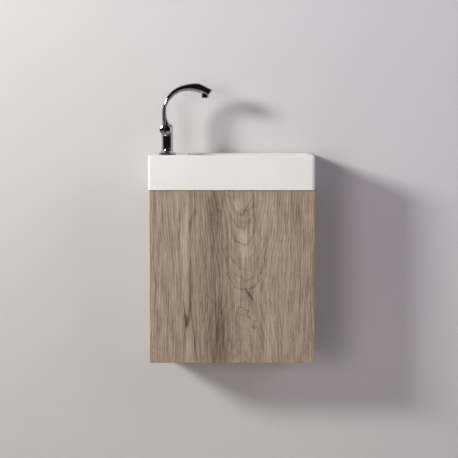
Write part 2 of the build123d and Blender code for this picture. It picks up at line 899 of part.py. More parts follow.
def tap_level(height):
    """Level plane at a height above the foot, centred on the tap."""
    return Plane(origin=tap_front.origin + Vector(0, 0, height), z_dir=(0, 0, 1))


def hub_plane(reach):
    """Plane square to the hub's axis, at a distance in front of the axis of the tap."""
    return Plane(origin=at_hub(0, hub_height, reach), x_dir=hub_across, z_dir=hub_way)


seal_ring = ring(tap_hole_radius, tap_foot_radius - 1, -tap_seal, 0)
save(turned(tap_front, seal_ring), "tap_foot_seal")

with BuildPart() as tap_base:
    with BuildSketch(tap_front):
        with BuildLine():
            foot_edge = Line((tap_foot_radius, 0), (tap_foot_radius, tap_foot_edge))
            sweep_in = ThreePointArc(
                (tap_foot_radius, tap_foot_edge),
                (
                    tap_body_radius + (tap_foot_radius - tap_body_radius) * 0.3,
                    tap_foot_edge + (tap_foot_height - tap_foot_edge) * 0.3,
                ),
                (tap_body_radius, tap_foot_height),
            )
            Polyline(
                (tap_body_radius, tap_foot_height),
                (tap_body_radius, tap_base_height),
                (0, tap_base_height),
                (0, 0),
                (tap_foot_radius, 0),
            )
        make_face()
    revolve(axis=tap_axis)
    with BuildSketch(tap_level(0)):
        with Locations((0, inlet_shift)):
            with GridLocations(inlet_spacing, 0, 2, 1):
                Circle(inlet_radius)
    extrude(amount=inlet_depth, mode=Mode.SUBTRACT)
    with BuildSketch(tap_level(0)):
        with Locations((0, stud_shift)):
            Circle(stud_radius + thread_play)
    extrude(amount=stud_in_base + thread_play, mode=Mode.SUBTRACT)
save(tap_base, "tap_base")

with BuildPart() as tap_trim_ring:
    with BuildSketch(tap_level(trim_low)):
        Circle(trim_radius)
    extrude(amount=trim_height)
    fillet(tap_trim_ring.edges(), trim_height / 3)
save(tap_trim_ring, "tap_trim_ring")

spine_start = head_high - neck_bury
with BuildLine(tap_front) as spout_spine:
    neck_line = Line((neck_shift, spine_start), (neck_shift, spine_start + neck_straight))
    bend = JernArc(start=neck_line @ 1, tangent=neck_line % 1, radius=bend_radius, arc_size=-bend_turn)
    JernArc(start=bend @ 1, tangent=bend % 1, radius=crown_radius, arc_size=-crown_turn)
spine = spout_spine.wires()[0]
neck_share = neck_straight / spine.length


def spout_flare(part):
    """Extra half thickness where the neck spreads into the head."""
    return root_flare * max(0, 1 - part / neck_share) ** 2


def spout_half(part, start_half, end_half):
    """Half a side of the spout's section at a part of its length, as it grows towards the mouth."""
    swell = max(0, (part - neck_share) / (1 - neck_share)) ** mouth_swell
    return start_half + (end_half - start_half) * swell


def spout_plane(part):
    """Plane across the spout; the flare leans to the mouth's side, so the back stays upright."""
    origin = spine @ part + tap_front.x_dir * spout_flare(part)
    return Plane(origin=origin, x_dir=tap_front.z_dir, z_dir=spine % part)


aerator_foot = tap_front.origin + Vector(aerator_reach, 0, aerator_low)
aerator_level = Plane(origin=aerator_foot, z_dir=(0, 0, 1))
with BuildPart() as tap_head:
    with BuildSketch(tap_level(head_low)):
        Circle(tap_body_radius)
    extrude(amount=tap_head_height)
    fillet(tap_head.faces().sort_by(Axis.Z)[-1].edges(), tap_head_round)
    with BuildSketch(hub_plane(0)):
        Circle(hub_radius)
    extrude(amount=boss_reach)
    for part in (0, 0.3 * neck_share, 0.6 * neck_share, neck_share, 0.35, 0.52, 0.68, 0.84, 1):
        with BuildSketch(spout_plane(part)):
            thickness = spout_half(part, neck_half, mouth_half) + spout_flare(part)
            depth = spout_half(part, neck_deep, mouth_wide)
            corner = neck_corner + (mouth_corner - neck_corner) * part**2
            RectangleRounded(2 * depth, 2 * thickness, corner * min(depth, thickness))
    loft()
    fillet(tap_head.faces().sort_by(Axis.X)[-1].edges(), mouth_round)
    with BuildSketch(hub_plane(boss_reach)):
        Circle(cartridge_radius + thread_play)
    extrude(amount=-(cartridge_length + cartridge_ring), mode=Mode.SUBTRACT)
    with BuildSketch(aerator_level):
        Circle(aerator_radius + thread_play)
    extrude(amount=aerator_seat, mode=Mode.SUBTRACT)
save(tap_head, "tap_head")

aerator_front = Plane(origin=aerator_foot, x_dir=(1, 0, 0), z_dir=(0, -1, 0))
aerator_outline = [
    (aerator_bore, 0),
    (aerator_radius - 0.8, 0),
    (aerator_radius, 0.8),
    (aerator_radius, aerator_seat),
    (0, aerator_seat),
    (0, 3),
    (aerator_bore, 3),
]
save(turned(aerator_front, aerator_outline), "tap_aerator")

with BuildPart() as tap_cartridge:
    with BuildSketch(hub_plane(boss_reach - cartridge_ring)):
        Circle(cartridge_radius)
        Circle(hub_stem_radius + pivot_play, mode=Mode.SUBTRACT)
    extrude(amount=-cartridge_length)
save(tap_cartridge, "tap_cartridge")

with BuildPart() as tap_cartridge_ring:
    with BuildSketch(hub_plane(boss_reach)):
        Circle(cartridge_radius)
        Circle(hub_stem_radius * 1.5, mode=Mode.SUBTRACT)
    extrude(amount=-cartridge_ring)
save(tap_cartridge_ring, "tap_cartridge_ring")

# Turning hub with a slot across its face, and the pin lever that tips forward in it
hub_back = boss_reach + hub_gap
hub_face = hub_back + hub_thickness
lever_reach = hub_face + lever_proud - lever_radius
lever_foot = hub_height - lever_pivot_drop
slot_width = 2 * (lever_radius + lever_slot_play)
hub_side = Plane(origin=hub_plane(hub_back).origin, x_dir=hub_across, z_dir=(0, 0, -1))
with BuildPart() as tap_hub:
    with BuildSketch(hub_side) as hub_outline:
        with BuildLine():
            Polyline(
                (hub_radius, hub_thickness - hub_dome),
                (hub_radius, 0),
                (-hub_radius, 0),
                (-hub_radius, hub_thickness - hub_dome),
            )
            ThreePointArc(
                (-hub_radius, hub_thickness - hub_dome),
                (0, hub_thickness),
                (hub_radius, hub_thickness - hub_dome),
            )
        make_face()
        fillet(hub_outline.vertices().group_by(Axis.Y)[-1], hub_round)
        with Locations((-hub_radius, hub_thickness / 2)):
            Rectangle(2 * hub_radius, 2 * hub_thickness, mode=Mode.SUBTRACT)
    revolve(axis=Axis(hub_side.origin, hub_side.y_dir))
    with BuildSketch(hub_plane(hub_face)):
        with Locations((0, -lever_pivot_drop)):
            Circle(slot_width / 2)
        with Locations((0, hub_radius - lever_pivot_drop)):
            Rectangle(slot_width, 2 * hub_radius)
    extrude(amount=-lever_slot_depth, mode=Mode.SUBTRACT)
    with BuildSketch(hub_plane(hub_back)):
        Circle(hub_stem_radius)
    extrude(amount=-hub_stem_length)
    pin_plane = Plane(origin=at_hub(-lever_pin_length / 2, lever_foot, lever_reach), z_dir=hub_across)
    with BuildSketch(pin_plane):
        Circle(lever_pin_radius + pivot_fit)
    extrude(amount=lever_pin_length, mode=Mode.SUBTRACT)
save(tap_hub, "tap_hub")
save(pins([pin_plane], lever_pin_radius, lever_pin_length), "tap_lever_pin")

lever_origin = at_hub(0, lever_foot, lever_reach)
lever_side = Plane(origin=lever_origin, x_dir=hub_across, z_dir=hub_way)
lever_length = lever_top - lever_foot
with BuildPart() as tap_lever:
    with BuildSketch(lever_side):
        with BuildLine():
            tip = JernArc((0, lever_length), (1, 0), lever_radius, -90)
            side = Line(tip @ 1, (lever_radius, 0))
            heel = JernArc(side @ 1, side % 1, lever_radius, -90)
            Line(heel @ 1, tip @ 0)
        make_face()
    revolve(axis=Axis(lever_origin, (0, 0, 1)))
    with BuildSketch(Plane(origin=lever_origin, z_dir=hub_across)):
        Circle(lever_pin_radius + pivot_play)
    extrude(amount=lever_radius + 1, both=True, mode=Mode.SUBTRACT)
save(tap_lever, "tap_lever")

# Fixings of the tap under the ledge
ledge_under = -tap_seal - ceramic
stud_foot = tap_front.origin + Vector(0, stud_shift, stud_in_base - stud_length)
save(pins([Plane(origin=stud_foot, z_dir=(0, 0, 1))], stud_radius, stud_length), "tap_stud")


def clamp_piece(high, thickness):
    """Horseshoe that clamps the tap: a disc with an open slot for the inlets and a hole for the stud."""
    with BuildPart() as clamp:
        with BuildSketch(tap_level(high)):
            Circle(clamp_radius)
            with Locations((0, inlet_shift + clamp_radius / 2)):
                Rectangle(inlet_spacing + clamp_slot, clamp_radius + clamp_slot / 2, mode=Mode.SUBTRACT)
            with Locations((0, stud_shift)):
                Circle(stud_radius + screw_play, mode=Mode.SUBTRACT)
        extrude(amount=-thickness)
    return clamp


save(clamp_piece(ledge_under, gasket_thickness), "tap_clamp_gasket")
save(clamp_piece(ledge_under - gasket_thickness, clamp_thickness), "tap_clamp_plate")

with BuildPart() as tap_stud_nut:
    with BuildSketch(tap_level(ledge_under - gasket_thickness - clamp_thickness)):
        with Locations((0, stud_shift)):
            RegularPolygon(stud_nut_flats / 2, 6, major_radius=False)
            Circle(stud_radius + thread_play, mode=Mode.SUBTRACT)
    extrude(amount=-stud_nut_height)
save(tap_stud_nut, "tap_stud_nut")
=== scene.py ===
# %% [markdown]
# # A wall hung vanity unit
# This notebook dresses a measured model of a small vanity unit: a slim white basin with a swan neck
# tap, on a cabinet with one door of greyed oak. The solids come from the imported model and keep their
# shape and place. What is made here is their finish and the room: a plain wall, a plain floor, soft
# lamps and a camera. Everything is in metres, +Z is up, the wall is the plane y = 0 and the front of
# the unit faces -Y.

import json
import math

import bmesh
import bpy
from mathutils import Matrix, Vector


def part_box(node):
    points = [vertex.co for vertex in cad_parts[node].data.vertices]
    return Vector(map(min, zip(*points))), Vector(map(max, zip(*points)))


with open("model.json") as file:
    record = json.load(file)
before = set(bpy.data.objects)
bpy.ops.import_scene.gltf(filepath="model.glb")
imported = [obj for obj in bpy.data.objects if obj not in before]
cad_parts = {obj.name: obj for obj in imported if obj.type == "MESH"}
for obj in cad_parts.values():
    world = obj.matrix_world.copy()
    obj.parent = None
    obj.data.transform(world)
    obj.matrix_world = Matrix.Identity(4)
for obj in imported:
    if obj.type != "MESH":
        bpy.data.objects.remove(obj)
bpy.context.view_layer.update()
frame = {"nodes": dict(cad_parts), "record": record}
solids = frame["nodes"]

# %% [markdown]
# ## Helpers for materials
# A material is a small graph. Two helpers keep the graphs short: one adds a node and fills its inputs,
# the other does one step of arithmetic. An input is either a plain value or another node's socket. All
# patterns are worked out from the place on the piece, so they need no pictures and no unwrapping.


# %% Add a node to a graph
def add_node(tree, kind, inputs=None, **settings):
    """Adds a node, sets its options and fills its inputs. Returns the node."""
    node = tree.nodes.new(kind)
    for option, value in settings.items():
        setattr(node, option, value)
    for key, value in (inputs or {}).items():
        if isinstance(value, bpy.types.NodeSocket):
            tree.links.new(value, node.inputs[key])
        else:
            node.inputs[key].default_value = value
    return node


def calc(tree, operation, *values):
    """One step of arithmetic in a graph. Returns the result's socket."""
    node = add_node(tree, "ShaderNodeMath", dict(enumerate(values)), operation=operation)
    return node.outputs[0]


def start_material(name):
    """A material with only its Principled shader and output. Returns the material, graph and shader."""
    material = bpy.data.materials.new(name)
    material.use_nodes = True
    tree = material.node_tree
    tree.nodes.clear()
    shader = add_node(tree, "ShaderNodeBsdfPrincipled")
    output = add_node(tree, "ShaderNodeOutputMaterial")
    tree.links.new(shader.outputs["BSDF"], output.inputs["Surface"])
    return material, tree, shader


def place_of(tree):
    """The place on the piece, in metres, as a vector and as its three parts."""
    vector = add_node(tree, "ShaderNodeTexCoord").outputs["Object"]
    parts = add_node(tree, "ShaderNodeSeparateXYZ", {0: vector}).outputs
    return vector, parts["X"], parts["Y"], parts["Z"]


def shifted(tree, vector, shift):
    """Moves a place by a shift, so that two noises differ."""
    return add_node(tree, "ShaderNodeVectorMath", {0: vector, 1: shift}, operation="ADD").outputs[0]


def noise(tree, vector, scale, detail=2.0, roughness=0.5):
    """Soft random field between 0 and 1, with its middle near 0.5."""
    inputs = {"Vector": vector, "Scale": scale, "Detail": detail, "Roughness": roughness}
    return add_node(tree, "ShaderNodeTexNoise", inputs).outputs[0]


def ramp(tree, value, stops):
    """Turns a value into a grey level or a colour through a few stops of (place, colour)."""
    node = add_node(tree, "ShaderNodeValToRGB", {0: value})
    stop_list = node.color_ramp.elements
    while len(stop_list) < len(stops):
        stop_list.new(0.5)
    for element, (place, colour) in zip(stop_list, stops):
        element.position = place
        element.color = (*colour, 1) if isinstance(colour, tuple) else (colour, colour, colour, 1)
    return node.outputs["Color"]


def bump(tree, shader, height, depth, strength=1.0):
    """Lets a height field tilt the surface. Depth is the relief in metres."""
    inputs = {"Height": height, "Distance": depth, "Strength": strength}
    node = add_node(tree, "ShaderNodeBump", inputs)
    tree.links.new(node.outputs["Normal"], shader.inputs["Normal"])


print("helpers ready")

# %% [markdown]
# ## Oak
# The cabinet is faced with flat sawn oak, stained grey brown. A board cut flat through a log shows
# nested arches in the middle, where the saw runs along the rings, and straight lines at the sides,
# where it cuts across them. A tiled wood pattern can't do that. Here the rings are what they are in
# the log: lines of equal distance from its heart. The heart lies behind the board, deepest at one
# height, so the arches point both ways from there. Pores, streaks and slow changes of tone go on top.

# %% Rings, pores and streaks of oak, as one node group
RING = 0.0062  # distance between two rings
HEART_X = 0.026  # the heart of the log, across the door
HEART_TURN = -0.205  # height at which the arches change direction
HEART_DEPTH = 0.085  # depth of the heart behind the board at that height
HEART_SLOPE = 0.165  # how fast the heart comes nearer above and below it


def oak_group():
    """Node group: from a place across and along the grain to a darkness and a height."""
    tree = bpy.data.node_groups.new("oak", "ShaderNodeTree")
    face = tree.interface
    for name in ("Across", "Along"):
        face.new_socket(name, in_out="INPUT", socket_type="NodeSocketFloat")
    for name in ("Dark", "Line", "Height"):
        face.new_socket(name, in_out="OUTPUT", socket_type="NodeSocketFloat")
    source = tree.nodes.new("NodeGroupInput").outputs
    across, along = source["Across"], source["Along"]

    def field(across_scale, along_scale, detail=2.0, roughness=0.5, shift=0.0):
        """Noise stretched along the grain; the shift only makes one field differ from the next."""
        x = calc(tree, "MULTIPLY_ADD", across, across_scale, shift)
        z = calc(tree, "MULTIPLY_ADD", along, along_scale, shift)
        vector = add_node(tree, "ShaderNodeCombineXYZ", {0: x, 1: z}).outputs[0]
        return noise(tree, vector, 1.0, detail, roughness)

    # Distance from the heart of the log
    sway = calc(tree, "MULTIPLY_ADD", field(7, 2.6, 1), 0.030, -0.015)
    ripple = calc(tree, "MULTIPLY_ADD", field(45, 16, 2, 0.5, 3.1), 0.0042, -0.0021)
    side = calc(tree, "SUBTRACT", across, HEART_X)
    side = calc(tree, "ADD", side, sway)
    drop = calc(tree, "ABSOLUTE", calc(tree, "SUBTRACT", along, HEART_TURN))
    deep = calc(tree, "MULTIPLY_ADD", drop, -HEART_SLOPE, HEART_DEPTH)
    uneven = calc(tree, "MULTIPLY_ADD", field(4, 9, 1, 0.5, 7.7), 0.030, -0.015)
    deep = calc(tree, "ADD", deep, uneven)
    deep_squared = calc(tree, "MULTIPLY", deep, deep)
    reach = calc(tree, "SQRT", calc(tree, "MULTIPLY_ADD", side, side, deep_squared))
    reach = calc(tree, "ADD", reach, ripple)

    # One dark line for each ring, some strong and some faint
    count = calc(tree, "DIVIDE", reach, RING)
    part = calc(tree, "FRACT", count)
    late_wood = [(0.0, 0.85), (0.14, 0.35), (0.5, 0.06), (0.86, 0.0), (0.97, 1.0), (1.0, 0.85)]
    line = ramp(tree, part, late_wood)
    ring_number = {"W": calc(tree, "FLOOR", count)}
    chance = add_node(tree, "ShaderNodeTexWhiteNoise", ring_number, noise_dimensions="1D")
    weight = calc(tree, "MULTIPLY_ADD", chance.outputs["Value"], 0.7, 0.3)
    broken = ramp(tree, field(60, 18, 3, 0.6, 1.3), [(0.30, 0.35), (0.6, 1.0)])
    line = calc(tree, "MULTIPLY", calc(tree, "MULTIPLY", line, weight), broken)

    # Streaks and open pores run along the grain
    wave = ramp(tree, field(155, 10, 3, 0.65, 4.4), [(0.40, 1.0), (0.60, 0.0)])
    streak = ramp(tree, field(420, 9, 3, 0.65, 5.2), [(0.32, 1.0), (0.66, 0.0)])
    pore = ramp(tree, field(900, 46, 2, 0.6, 9.4), [(0.30, 1.0), (0.43, 0.0)])
    tone = calc(tree, "SUBTRACT", field(14, 1.5, 2, 0.5, 2.6), 0.5)

    dark = calc(tree, "MULTIPLY_ADD", wave, 0.30, 0.02)
    dark = calc(tree, "MULTIPLY_ADD", streak, 0.32, dark)
    dark = calc(tree, "MULTIPLY_ADD", pore, 0.32, dark)
    dark = calc(tree, "MULTIPLY_ADD", tone, 0.50, dark)
    height = calc(tree, "MULTIPLY_ADD", line, -0.35, 1.0)
    height = calc(tree, "MULTIPLY_ADD", streak, -0.25, height)
    height = calc(tree, "MULTIPLY_ADD", pore, -0.7, height)
    sink = tree.nodes.new("NodeGroupOutput").inputs
    tree.links.new(dark, sink["Dark"])
    tree.links.new(line, sink["Line"])
    tree.links.new(height, sink["Height"])
    return tree


oak = oak_group()
print("oak group with", len(oak.nodes), "nodes")

# %% [markdown]
# The boards are cut from different logs and lie different ways, so each gets its own place in the
# grain. On the door the grain is upright and starts where the group's numbers were chosen for. What
# makes this door this door is added one by one: a broad dark band, veins and pale streaks as soft
# smudges, and the bold arches of the middle, each half an ellipse with two straight legs.

# %% Colours of the stained oak
OAK_LIGHT = (0.468, 0.376, 0.280)
OAK_DARK = (0.092, 0.062, 0.038)
RING_STRENGTH = 0.62  # how dark the log's own rings are
FRONT = 0.22  # distance of the door's face from the wall
ARCH_LINE = 0.055  # width of a drawn arch's line, as a share of the arch
print("oak from", OAK_LIGHT, "to", OAK_DARK)

# %% Marks and arches


def smudge(tree, across, along, centre, half_width, half_length, lean=0.0):
    """A soft mark that is 1 at its centre and fades out, leaning by an angle in degrees."""
    angle = math.radians(lean)
    x = calc(tree, "SUBTRACT", across, centre[0])
    z = calc(tree, "SUBTRACT", along, centre[1])
    side = calc(tree, "MULTIPLY_ADD", x, math.cos(angle), calc(tree, "MULTIPLY", z, -math.sin(angle)))
    length = calc(tree, "MULTIPLY_ADD", x, math.sin(angle), calc(tree, "MULTIPLY", z, math.cos(angle)))
    side = calc(tree, "POWER", calc(tree, "ABSOLUTE", calc(tree, "DIVIDE", side, half_width)), 2.0)
    length = calc(tree, "POWER", calc(tree, "ABSOLUTE", calc(tree, "DIVIDE", length, half_length)), 4.0)
    return calc(tree, "EXPONENT", calc(tree, "MULTIPLY", calc(tree, "ADD", side, length), -1.0))


def arch(tree, across, along, tip, half_width, height, way, point):
    """An arch that opens up or down from its tip; the lower its point number, the sharper the tip."""
    x = calc(tree, "ABSOLUTE", calc(tree, "DIVIDE", calc(tree, "SUBTRACT", across, tip[0]), half_width))
    rise = calc(tree, "MULTIPLY", calc(tree, "SUBTRACT", along, tip[1] + way * height), way / height)
    z = calc(tree, "ABSOLUTE", calc(tree, "MINIMUM", rise, 0.0))
    size = calc(tree, "ADD", calc(tree, "POWER", x, point), calc(tree, "POWER", z, point))
    size = calc(tree, "POWER", size, 1 / point)
    line = calc(tree, "DIVIDE", calc(tree, "SUBTRACT", size, 1.0), ARCH_LINE)
    fade = calc(tree, "MAXIMUM", rise, 0.0)
    spent = calc(tree, "MULTIPLY_ADD", line, line, calc(tree, "MULTIPLY", fade, 1.4))
    return calc(tree, "EXPONENT", calc(tree, "MULTIPLY", spent, -1.0))


print("smudges and arches ready")

# %% Where the door's marks and arches are
# Each mark: centre across and along, half width, half length, lean, how dark
DOOR_MARKS = [
    ((-0.038, -0.150), 0.030, 0.290, 0, 0.30),
    ((-0.024, -0.290), 0.032, 0.090, 0, 0.16),
    ((-0.113, -0.080), 0.008, 0.115, 0, -0.26),
    ((-0.106, -0.320), 0.007, 0.045, 0, -0.22),
    ((0.090, -0.300), 0.009, 0.065, 0, -0.24),
    ((0.014, 0.019), 0.012, 0.016, 0, -0.26),
    ((0.024, -0.056), 0.013, 0.018, 0, -0.30),
    ((0.027, -0.090), 0.016, 0.013, 0, -0.24),
    ((0.041, -0.195), 0.0028, 0.018, -36, 0.50),
    ((0.052, -0.273), 0.0040, 0.005, -60, 0.40),
    ((-0.1135, -0.241), 0.0016, 0.033, -8, 0.45),
    ((-0.1050, -0.246), 0.0015, 0.027, 9, 0.40),
    ((-0.1095, -0.259), 0.0048, 0.014, 0, 0.38),
    ((-0.0985, -0.020), 0.0014, 0.018, 8, 0.40),
    ((-0.1000, -0.120), 0.0014, 0.105, 0, 0.42),
    ((-0.0930, -0.285), 0.0015, 0.078, -6.4, 0.50),
    ((-0.1260, -0.090), 0.0012, 0.085, 0, 0.34),
    ((-0.0880, 0.004), 0.0030, 0.006, 20, 0.30),
    ((-0.0330, 0.009), 0.0016, 0.003, 0, 0.40),
]
# Behind the drawn arches and in the dark band the log's own rings are calm: centre, half width, half
# length, how calm
CALM = [((0.030, -0.190), 0.055, 0.240, 0.45), ((-0.040, -0.300), 0.036, 0.190, 0.34)]
# Each arch: tip across and along, half width, height, way it opens, point, how dark
DOOR_ARCHES = [
    ((0.020, -0.001), 0.026, 0.045, 1, 1.4, 0.30),
    ((0.023, -0.034), 0.030, 0.045, 1, 1.5, 0.26),
    ((0.025, -0.070), 0.027, 0.034, 1, 2.1, 0.28),
    ((0.031, -0.127), 0.036, 0.028, 1, 1.8, 0.16),
    ((0.035, -0.158), 0.043, 0.040, 1, 1.6, 0.20),
    ((0.028, -0.182), 0.037, 0.038, 1, 1.7, 0.32),
    ((0.024, -0.221), 0.017, 0.038, -1, 1.5, 0.42),
    ((0.021, -0.243), 0.010, 0.028, -1, 1.5, 0.18),
    ((0.036, -0.293), 0.022, 0.045, -1, 1.6, 0.16),
]
print(len(DOOR_MARKS), "marks and", len(DOOR_ARCHES), "arches")

# %% [markdown]
# One function makes every oak material. It asks two small functions where across and along the grain a
# place lies, because the boards stand, lie and turn differently. The drawn arches are shaken a little
# by two noises, so that they look grown. Pores are also a relief, and a groove is duller than the rest.

# %% Oak materials


def oak_material(name, across_of, along_of, marks=(), arches=(), shade=0.0):
    """Oak whose place in the grain comes from two functions of the place on the piece."""
    material, tree, shader = start_material(name)
    vector, x, y, z = place_of(tree)
    across, along = across_of(tree, x, y, z), along_of(tree, x, y, z)
    grain = add_node(tree, "ShaderNodeGroup", node_tree=oak)
    tree.links.new(across, grain.inputs["Across"])
    tree.links.new(along, grain.inputs["Along"])
    ring_strength = RING_STRENGTH
    for centre, half_width, half_length, calm in CALM if arches else ():
        spot = smudge(tree, across, along, centre, half_width, half_length)
        ring_strength = calc(tree, "MULTIPLY_ADD", spot, -calm, ring_strength)
    dark = calc(tree, "ADD", grain.outputs["Dark"], shade)
    dark = calc(tree, "MULTIPLY_ADD", grain.outputs["Line"], ring_strength, dark)
    for centre, half_width, half_length, lean, strength in marks:
        spot = smudge(tree, across, along, centre, half_width, half_length, lean)
        dark = calc(tree, "MULTIPLY_ADD", spot, strength, dark)
    if arches:
        shake = noise(tree, vector, 60.0, 3.0, 0.6)
        across = calc(tree, "ADD", across, calc(tree, "MULTIPLY_ADD", shake, 0.022, -0.011))
        bob = noise(tree, shifted(tree, vector, (0.3, 0.3, 0.3)), 26.0, 2.0)
        along = calc(tree, "ADD", along, calc(tree, "MULTIPLY_ADD", bob, 0.030, -0.015))
    for tip, half_width, height, way, point, strength in arches:
        line = arch(tree, across, along, tip, half_width, height, way, point)
        dark = calc(tree, "MULTIPLY_ADD", line, strength, dark)
    colours = {"Factor": dark, 6: (*OAK_LIGHT, 1), 7: (*OAK_DARK, 1)}
    mix = add_node(tree, "ShaderNodeMix", colours, data_type="RGBA")
    tree.links.new(mix.outputs[2], shader.inputs["Base Color"])
    rough = calc(tree, "MULTIPLY_ADD", grain.outputs["Height"], -0.12, 0.72)
    tree.links.new(rough, shader.inputs["Roughness"])
    shader.inputs["Specular IOR Level"].default_value = 0.3
    bump(tree, shader, grain.outputs["Height"], depth=0.00035)
    return material


def x_and_y(tree, x, y, z):
    """Across an upright board, and on round its edges."""
    return calc(tree, "ADD", x, y)


def from_front(tree, x, y, z):
    """Across the door; the front of the unit is at y = -FRONT."""
    return calc(tree, "ADD", calc(tree, "ADD", x, y), FRONT)


def up_the_door(tree, x, y, z):
    """Along the door's grain, which is upright."""
    return z


def height_in_side_log(tree, x, y, z):
    """Up the sides, in another stretch of the log than the door's."""
    return calc(tree, "ADD", z, 0.31)


def y_and_z(tree, x, y, z):
    """Across a lying board, and on round its edges."""
    return calc(tree, "ADD", calc(tree, "ADD", y, z), FRONT)


def width_in_rail_log(tree, x, y, z):
    """Along the rails, in yet another stretch."""
    return calc(tree, "ADD", x, 0.5)


door_oak = oak_material("door_oak", from_front, up_the_door, DOOR_MARKS, DOOR_ARCHES)
side_oak = oak_material("side_oak", x_and_y, height_in_side_log, shade=0.02)
rail_oak = oak_material("rail_oak", y_and_z, width_in_rail_log, shade=0.03)
print("oak for the door, the sides and the rails")

# %% [markdown]
# ## Glazed ceramic
# The basin is white sanitary ware. Its glaze is thick, smooth and very glossy, and it is never quite
# flat: a slow unevenness makes reflections waver. A clear coat over an off white body gives the gloss,
# and two slow noises give the waver and a faint change of gloss.


# %% Ceramic
def ceramic_material():
    material, tree, shader = start_material("ceramic")
    vector, x, y, z = place_of(tree)
    cloud = noise(tree, vector, 9.0, 2.0)
    colour = ramp(tree, cloud, [(0.3, (0.775, 0.752, 0.732)), (0.7, (0.805, 0.782, 0.762))])
    tree.links.new(colour, shader.inputs["Base Color"])
    rough = calc(tree, "MULTIPLY_ADD", noise(tree, vector, 30.0, 3.0), 0.06, 0.09)
    tree.links.new(rough, shader.inputs["Roughness"])
    shader.inputs["Coat Weight"].default_value = 0.5
    shader.inputs["Coat Roughness"].default_value = 0.04
    bump(tree, shader, noise(tree, vector, 14.0, 1.0), depth=0.0004, strength=0.5)
    return material


ceramic = ceramic_material()
print("ceramic ready")

# %% [markdown]
# ## Metals
# The tap and the waste are polished chrome: nearly a mirror, with a trace of water marks in its gloss.
# Hinges are nickel plated and screws are zinc plated steel, both a little brushed and dull. The nut on
# the stud and the waste's nut are turned brass.


# %% Metals
def metal(name, colour, gloss, spread, scale, stretch=(1, 1, 1), relief=0.0):
    """A metal whose roughness wanders from gloss by spread, in marks of a scale and a stretch."""
    material, tree, shader = start_material(name)
    vector, x, y, z = place_of(tree)
    mapped = add_node(tree, "ShaderNodeMapping", {"Vector": vector, "Scale": stretch}).outputs[0]
    marks = noise(tree, mapped, scale, 4.0, 0.6)
    dull = tuple(channel * 0.94 for channel in colour)
    tree.links.new(ramp(tree, marks, [(0.3, dull), (0.7, colour)]), shader.inputs["Base Color"])
    tree.links.new(calc(tree, "MULTIPLY_ADD", marks, spread, gloss), shader.inputs["Roughness"])
    shader.inputs["Metallic"].default_value = 1.0
    if relief:
        bump(tree, shader, marks, relief)
    return material


chrome = metal("chrome", (0.555, 0.56, 0.57), 0.015, 0.03, 38.0)
nickel = metal("nickel", (0.60, 0.585, 0.56), 0.22, 0.16, 90.0, (1, 1, 5), 0.00003)
steel = metal("steel", (0.60, 0.60, 0.59), 0.24, 0.14, 260.0, relief=0.00002)
brass = metal("brass", (0.62, 0.46, 0.24), 0.28, 0.18, 160.0, (1, 1, 4), 0.00004)
print("metals:", [material.name for material in (chrome, nickel, steel, brass)])

# %% [markdown]
# ## Plastics, rubber, silicone and dowels
# Moulded pieces have a fine orange peel from their tool and are never one flat tone. Rubber is dull
# with a dusty bloom. Beech dowels are pale with short flecks.


# %% Soft and moulded finishes
def moulded(name, colours, gloss, spread, scale, relief, coat=0.0):
    """A moulded finish between two close colours."""
    material, tree, shader = start_material(name)
    vector, x, y, z = place_of(tree)
    fine = noise(tree, vector, scale, 3.0, 0.6)
    broad = noise(tree, vector, scale / 20, 2.0)
    colour = ramp(tree, broad, [(0.35, colours[0]), (0.65, colours[1])])
    tree.links.new(colour, shader.inputs["Base Color"])
    tree.links.new(calc(tree, "MULTIPLY_ADD", fine, spread, gloss), shader.inputs["Roughness"])
    shader.inputs["Coat Weight"].default_value = coat
    bump(tree, shader, fine, relief)
    return material


WHITES = ((0.76, 0.76, 0.75), (0.80, 0.80, 0.79))
GREYS = ((0.10, 0.10, 0.11), (0.14, 0.14, 0.15))
BLACKS = ((0.018, 0.018, 0.018), (0.035, 0.034, 0.033))
PALES = ((0.66, 0.66, 0.65), (0.72, 0.72, 0.71))
BEECH = ((0.46, 0.31, 0.17), (0.56, 0.40, 0.24))
white_plastic = moulded("white_plastic", WHITES, 0.22, 0.12, 700.0, 0.00004, coat=0.2)
grey_plastic = moulded("grey_plastic", GREYS, 0.40, 0.15, 700.0, 0.00005)
rubber = moulded("rubber", BLACKS, 0.55, 0.25, 900.0, 0.00006)
silicone = moulded("silicone", PALES, 0.30, 0.15, 500.0, 0.00005)
dowel_wood = moulded("dowel_wood", BEECH, 0.55, 0.2, 900.0, 0.0001)
print("plastics, rubber, silicone and beech")

# %% [markdown]
# ## Each solid gets its finish
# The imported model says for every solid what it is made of. So one table from that word to a material
# dresses them all, and only the lying boards need a choice of their own, for the way of their grain.

# %% Give each solid its finish
BY_SLOT = {
    "ceramic": ceramic,
    "door_oak": door_oak,
    "carcass_oak": side_oak,
    "dowel_wood": dowel_wood,
    "silicone": silicone,
    "nickel": nickel,
    "steel": steel,
    "chrome": chrome,
    "brass": brass,
    "rubber": rubber,
    "grey_plastic": grey_plastic,
    "white_plastic": white_plastic,
}
RAILS = ("base_panel", "front_rail", "hanging_rail", "lower_rail")
for row in frame["record"]["subparts"]:
    solid = solids[row["node"]]
    finish = rail_oak if row["node"] in RAILS else BY_SLOT[row["material_slot"]]
    solid.data.materials.clear()
    solid.data.materials.append(finish)

# %% [markdown]
# ## The room
# The unit hangs on a plain painted wall, with its rim 850 mm above a plain pale floor. Both are only a
# stage. From behind and from below both are see through, so that the open back of the cabinet and its
# underside can be looked at.

# %% Wall and floor
RIM_ABOVE_FLOOR = 0.85
WALL_SIZE = 9.0
FLOOR_SIZE = 12.0
WALL_BEHIND = 0.0006  # the wall stands this far behind the unit, so that the two don't coincide
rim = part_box("basin")[1].z
ground = rim - RIM_ABOVE_FLOOR


